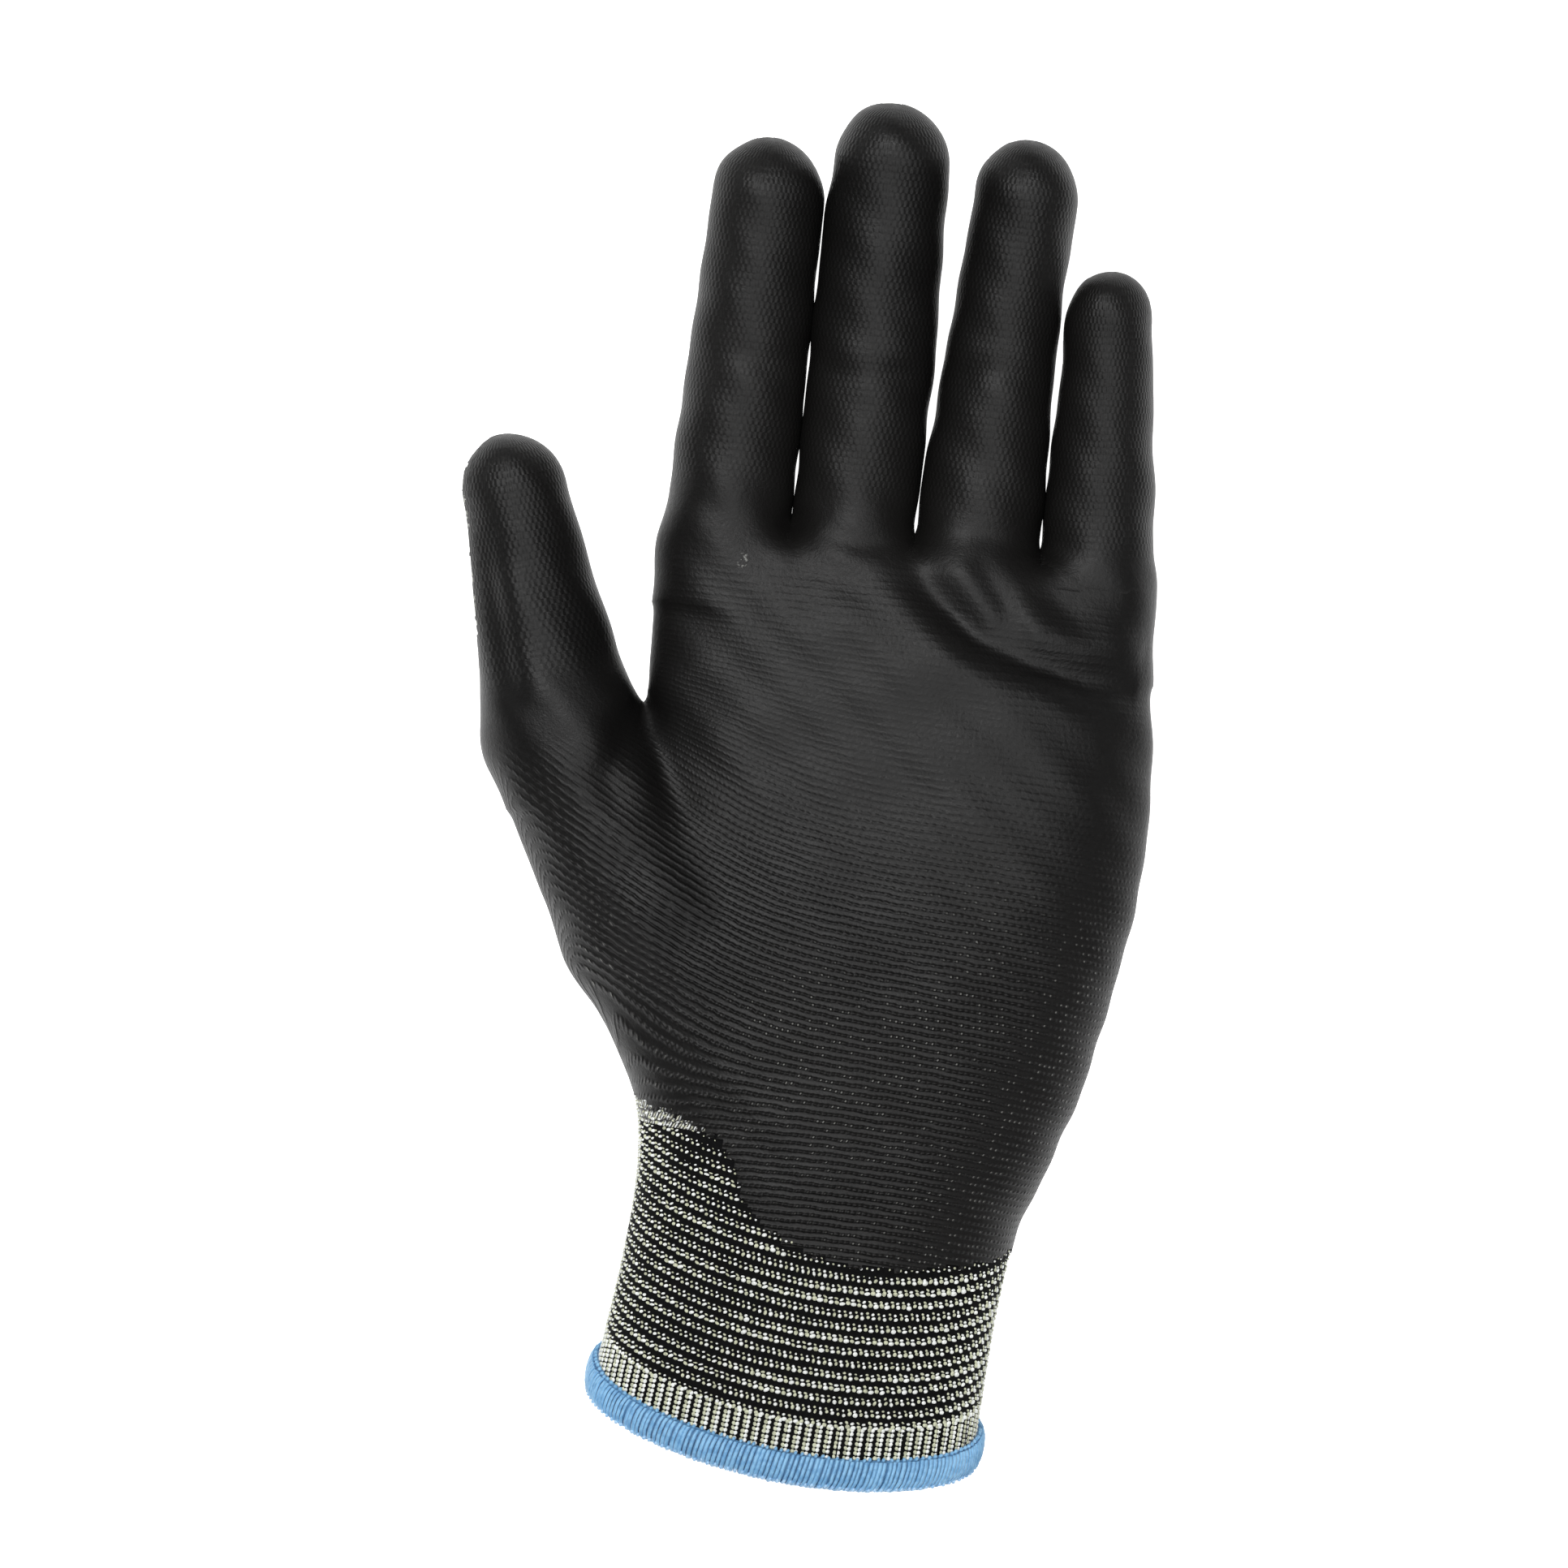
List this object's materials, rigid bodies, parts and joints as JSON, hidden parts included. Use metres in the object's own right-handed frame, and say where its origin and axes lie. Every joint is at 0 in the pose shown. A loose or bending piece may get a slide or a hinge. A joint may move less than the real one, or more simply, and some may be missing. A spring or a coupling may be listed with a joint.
{
  "type": "cut resistant glove",
  "caption": "Left-hand knitted cut-resistant work glove with a black palm coating, a striped elastic knit cuff and a light blue overlocked hem.",
  "frame": {"origin": "centre of the bounding box in plan, on the surface that the back of the glove rests on", "axes": "+Y from the cuff to the fingertips, +Z out of the palm, +X to the little finger's side, so the thumb is on -X"},
  "size_m": [0.125, 0.235, 0.04],
  "materials": {
    "liner_knit": "marl of white, cream and black yarns, plain knit",
    "pu_coating": "black dipped polyurethane, satin, with the knit showing through",
    "coated_fold": "coated knit that folds",
    "elastic_yarn": "covered elastic yarn",
    "hem_thread": "light blue textured overlock thread"
  },
  "bodies": {
    "palm": {"liner_palm": "liner_knit", "coating_palm": "pu_coating"},
    "index_base": {"index_base_liner": "liner_knit", "index_base_coating": "pu_coating", "index_base_fold": "coated_fold"},
    "index_middle": {"index_middle_liner": "liner_knit", "index_middle_coating": "pu_coating", "index_middle_fold": "coated_fold"},
    "index_tip": {"index_tip_liner": "liner_knit", "index_tip_coating": "pu_coating", "index_tip_fold": "coated_fold"},
    "middle_base": {"middle_base_liner": "liner_knit", "middle_base_coating": "pu_coating", "middle_base_fold": "coated_fold"},
    "middle_middle": {"middle_middle_liner": "liner_knit", "middle_middle_coating": "pu_coating", "middle_middle_fold": "coated_fold"},
    "middle_tip": {"middle_tip_liner": "liner_knit", "middle_tip_coating": "pu_coating", "middle_tip_fold": "coated_fold"},
    "ring_base": {"ring_base_liner": "liner_knit", "ring_base_coating": "pu_coating", "ring_base_fold": "coated_fold"},
    "ring_middle": {"ring_middle_liner": "liner_knit", "ring_middle_coating": "pu_coating", "ring_middle_fold": "coated_fold"},
    "ring_tip": {"ring_tip_liner": "liner_knit", "ring_tip_coating": "pu_coating", "ring_tip_fold": "coated_fold"},
    "little_base": {"little_base_liner": "liner_knit", "little_base_coating": "pu_coating", "little_base_fold": "coated_fold"},
    "little_middle": {"little_middle_liner": "liner_knit", "little_middle_coating": "pu_coating", "little_middle_fold": "coated_fold"},
    "little_tip": {"little_tip_liner": "liner_knit", "little_tip_coating": "pu_coating", "little_tip_fold": "coated_fold"},
    "thumb_root": {"thumb_root_liner": "liner_knit", "thumb_root_coating": "pu_coating", "thumb_root_fold": "coated_fold"},
    "thumb_base": {"thumb_base_liner": "liner_knit", "thumb_base_coating": "pu_coating", "thumb_base_fold": "coated_fold"},
    "thumb_tip": {"thumb_tip_liner": "liner_knit", "thumb_tip_coating": "pu_coating", "thumb_tip_fold": "coated_fold"},
    "cuff": {"cuff_liner": "liner_knit", "cuff_coating_edge": "pu_coating", "wrist_fold": "coated_fold", "cuff_elastic_yarns": "elastic_yarn", "cuff_hem_overlock": "hem_thread", "cuff_hem_stitches": "hem_thread"}
  },
  "joints": [
    {"name": "index_base_bend", "type": "hinge", "parent": "palm", "child": "index_base", "pos_m": [-0.01686, 0.05201, 0.0173], "axis": [1, -0.0052, 0], "range_deg": [-8, 65], "deforming": ["index_base_fold"]},
    {"name": "index_middle_bend", "type": "hinge", "parent": "index_base", "child": "index_middle", "pos_m": [-0.01675, 0.07182, 0.01934], "axis": [1, -0.0052, 0], "range_deg": [0, 80], "deforming": ["index_middle_fold"]},
    {"name": "index_tip_bend", "type": "hinge", "parent": "index_middle", "child": "index_tip", "pos_m": [-0.01666, 0.0905, 0.0223], "axis": [1, -0.0052, 0], "range_deg": [0, 45], "deforming": ["index_tip_fold"]},
    {"name": "middle_base_bend", "type": "hinge", "parent": "palm", "child": "middle_base", "pos_m": [0.00486, 0.05201, 0.0177], "axis": [0.9998, 0.0175, 0], "range_deg": [-8, 65], "deforming": ["middle_base_fold"]},
    {"name": "middle_middle_bend", "type": "hinge", "parent": "middle_base", "child": "middle_middle", "pos_m": [0.00448, 0.07379, 0.02001], "axis": [0.9998, 0.0175, 0], "range_deg": [0, 80], "deforming": ["middle_middle_fold"]},
    {"name": "middle_tip_bend", "type": "hinge", "parent": "middle_middle", "child": "middle_tip", "pos_m": [0.00411, 0.09538, 0.02364], "axis": [0.9998, 0.0175, 0], "range_deg": [0, 45], "deforming": ["middle_tip_fold"]},
    {"name": "ring_base_bend", "type": "hinge", "parent": "palm", "child": "ring_base", "pos_m": [0.02662, 0.05101, 0.0175], "axis": [0.9999, -0.0157, 0], "range_deg": [-8, 65], "deforming": ["ring_base_fold"]},
    {"name": "ring_middle_bend", "type": "hinge", "parent": "ring_base", "child": "ring_middle", "pos_m": [0.02695, 0.0718, 0.01967], "axis": [0.9999, -0.0157, 0], "range_deg": [0, 80], "deforming": ["ring_middle_fold"]},
    {"name": "ring_tip_bend", "type": "hinge", "parent": "ring_middle", "child": "ring_tip", "pos_m": [0.02727, 0.09243, 0.02306], "axis": [0.9999, -0.0157, 0], "range_deg": [0, 45], "deforming": ["ring_tip_fold"]},
    {"name": "little_base_bend", "type": "hinge", "parent": "palm", "child": "little_base", "pos_m": [0.04769, 0.04695, 0.0168], "axis": [0.9965, 0.0837, 0], "range_deg": [-8, 65], "deforming": ["little_base_fold"]},
    {"name": "little_middle_bend", "type": "hinge", "parent": "little_base", "child": "little_middle", "pos_m": [0.04632, 0.06319, 0.01876], "axis": [0.9965, 0.0837, 0], "range_deg": [0, 80], "deforming": ["little_middle_fold"]},
    {"name": "little_tip_bend", "type": "hinge", "parent": "little_middle", "child": "little_tip", "pos_m": [0.04509, 0.07785, 0.02126], "axis": [0.9965, 0.0837, 0], "range_deg": [0, 45], "deforming": ["little_tip_fold"]},
    {"name": "thumb_swing", "type": "hinge", "parent": "palm", "child": "thumb_root", "pos_m": [-0.04294, 0.01245, 0.01871], "axis": [0.5337, 0.2102, 0.8192], "range_deg": [-6, 30], "deforming": ["thumb_root_fold"]},
    {"name": "thumb_bend", "type": "hinge", "parent": "thumb_root", "child": "thumb_base", "pos_m": [-0.04555, 0.02304, 0.02078], "axis": [0.7622, 0.3002, -0.5736], "range_deg": [0, 45], "deforming": ["thumb_base_fold"]},
    {"name": "thumb_tip_bend", "type": "hinge", "parent": "thumb_base", "child": "thumb_tip", "pos_m": [-0.04999, 0.03674, 0.02206], "axis": [0.7622, 0.3002, -0.5736], "range_deg": [0, 60], "deforming": ["thumb_tip_fold"]},
    {"name": "wrist_bend", "type": "hinge", "parent": "palm", "child": "cuff", "pos_m": [0.015, -0.07235, 0.0195], "axis": [1, 0, 0], "range_deg": [-45, 45], "deforming": ["wrist_fold"]}
  ]
}
